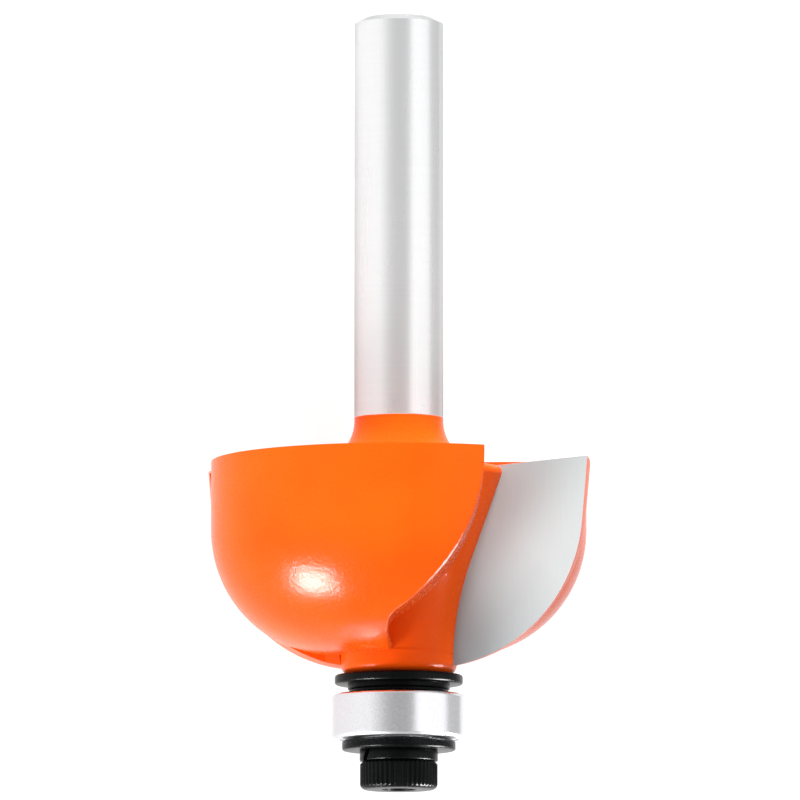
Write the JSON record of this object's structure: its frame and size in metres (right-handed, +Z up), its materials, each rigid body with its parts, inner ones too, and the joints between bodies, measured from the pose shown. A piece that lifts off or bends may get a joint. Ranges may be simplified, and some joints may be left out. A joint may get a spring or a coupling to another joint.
{
  "type": "router bit",
  "caption": "Cove router bit with a plain round shank, coated anti-kickback body, brazed carbide tips, stepped dust shield and a ball-bearing guide held by a socket screw.",
  "frame": {"origin": "centre of the bounding box on the bench, z = 0, with the bit lying down", "axes": "+Z up from the bench; +Y in plan along the bit, towards the end of the shank, which rests on the bench 17 degrees lower than the head"},
  "size_m": [0.0266, 0.0542, 0.0258],
  "materials": {
    "coated_body": "smooth orange non-stick coat on steel, shank ground bright and bare",
    "carbide": "fine ground grey carbide face, flanks under the orange coat",
    "black_oxide": "black oxide, satin",
    "bearing_steel": "ground bearing steel",
    "pressed_steel": "pressed sheet steel, satin"
  },
  "bodies": {
    "cutter": {"cutter_body": "coated_body", "carbide_tip_a": "carbide", "carbide_tip_b": "carbide", "dust_shield": "black_oxide", "spacer_washer": "black_oxide", "bearing_inner_ring": "bearing_steel", "retaining_washer": "black_oxide", "lock_washer": "black_oxide", "bearing_screw": "black_oxide"},
    "guide_ring": {"bearing_outer_ring": "bearing_steel", "bearing_shield_upper": "pressed_steel", "bearing_shield_lower": "pressed_steel"},
    "cage": {"bearing_cage": "pressed_steel"},
    "ball_1": {"bearing_ball_1": "bearing_steel"},
    "ball_2": {"bearing_ball_2": "bearing_steel"},
    "ball_3": {"bearing_ball_3": "bearing_steel"},
    "ball_4": {"bearing_ball_4": "bearing_steel"},
    "ball_5": {"bearing_ball_5": "bearing_steel"},
    "ball_6": {"bearing_ball_6": "bearing_steel"},
    "ball_7": {"bearing_ball_7": "bearing_steel"},
    "ball_8": {"bearing_ball_8": "bearing_steel"}
  },
  "joints": [
    {"name": "guide_ring_spin", "type": "hinge", "parent": "cutter", "child": "guide_ring", "pos_m": [0, -0.02143, 0.01759], "axis": [0, 0.956, -0.2933], "continuous": true},
    {"name": "cage_orbit", "type": "hinge", "parent": "cutter", "child": "cage", "pos_m": [0, -0.02143, 0.01759], "axis": [0, 0.956, -0.2933], "continuous": true},
    {"name": "ball_1_spin", "type": "hinge", "parent": "cage", "child": "ball_1", "pos_m": [0.00261, -0.02071, 0.01992], "axis": [0, 0.956, -0.2933], "continuous": true},
    {"name": "ball_2_spin", "type": "hinge", "parent": "cage", "child": "ball_2", "pos_m": [0.00357, -0.02147, 0.01747], "axis": [0, 0.956, -0.2933], "continuous": true},
    {"name": "ball_3_spin", "type": "hinge", "parent": "cage", "child": "ball_3", "pos_m": [0.00243, -0.0222, 0.0151], "axis": [0, 0.956, -0.2933], "continuous": true},
    {"name": "ball_4_spin", "type": "hinge", "parent": "cage", "child": "ball_4", "pos_m": [-0.00013, -0.02248, 0.01418], "axis": [0, 0.956, -0.2933], "continuous": true},
    {"name": "ball_5_spin", "type": "hinge", "parent": "cage", "child": "ball_5", "pos_m": [-0.00261, -0.02214, 0.01527], "axis": [0, 0.956, -0.2933], "continuous": true},
    {"name": "ball_6_spin", "type": "hinge", "parent": "cage", "child": "ball_6", "pos_m": [-0.00357, -0.02139, 0.01772], "axis": [0, 0.956, -0.2933], "continuous": true},
    {"name": "ball_7_spin", "type": "hinge", "parent": "cage", "child": "ball_7", "pos_m": [-0.00243, -0.02066, 0.02009], "axis": [0, 0.956, -0.2933], "continuous": true},
    {"name": "ball_8_spin", "type": "hinge", "parent": "cage", "child": "ball_8", "pos_m": [0.00013, -0.02038, 0.02101], "axis": [0, 0.956, -0.2933], "continuous": true}
  ],
  "couplings": [
    {"joint": "cage_orbit", "follows": "guide_ring_spin", "ratio": 0.61114},
    {"joint": "ball_1_spin", "follows": "guide_ring_spin", "ratio": 2.1382},
    {"joint": "ball_2_spin", "follows": "guide_ring_spin", "ratio": 2.1382},
    {"joint": "ball_3_spin", "follows": "guide_ring_spin", "ratio": 2.1382},
    {"joint": "ball_4_spin", "follows": "guide_ring_spin", "ratio": 2.1382},
    {"joint": "ball_5_spin", "follows": "guide_ring_spin", "ratio": 2.1382},
    {"joint": "ball_6_spin", "follows": "guide_ring_spin", "ratio": 2.1382},
    {"joint": "ball_7_spin", "follows": "guide_ring_spin", "ratio": 2.1382},
    {"joint": "ball_8_spin", "follows": "guide_ring_spin", "ratio": 2.1382}
  ]
}
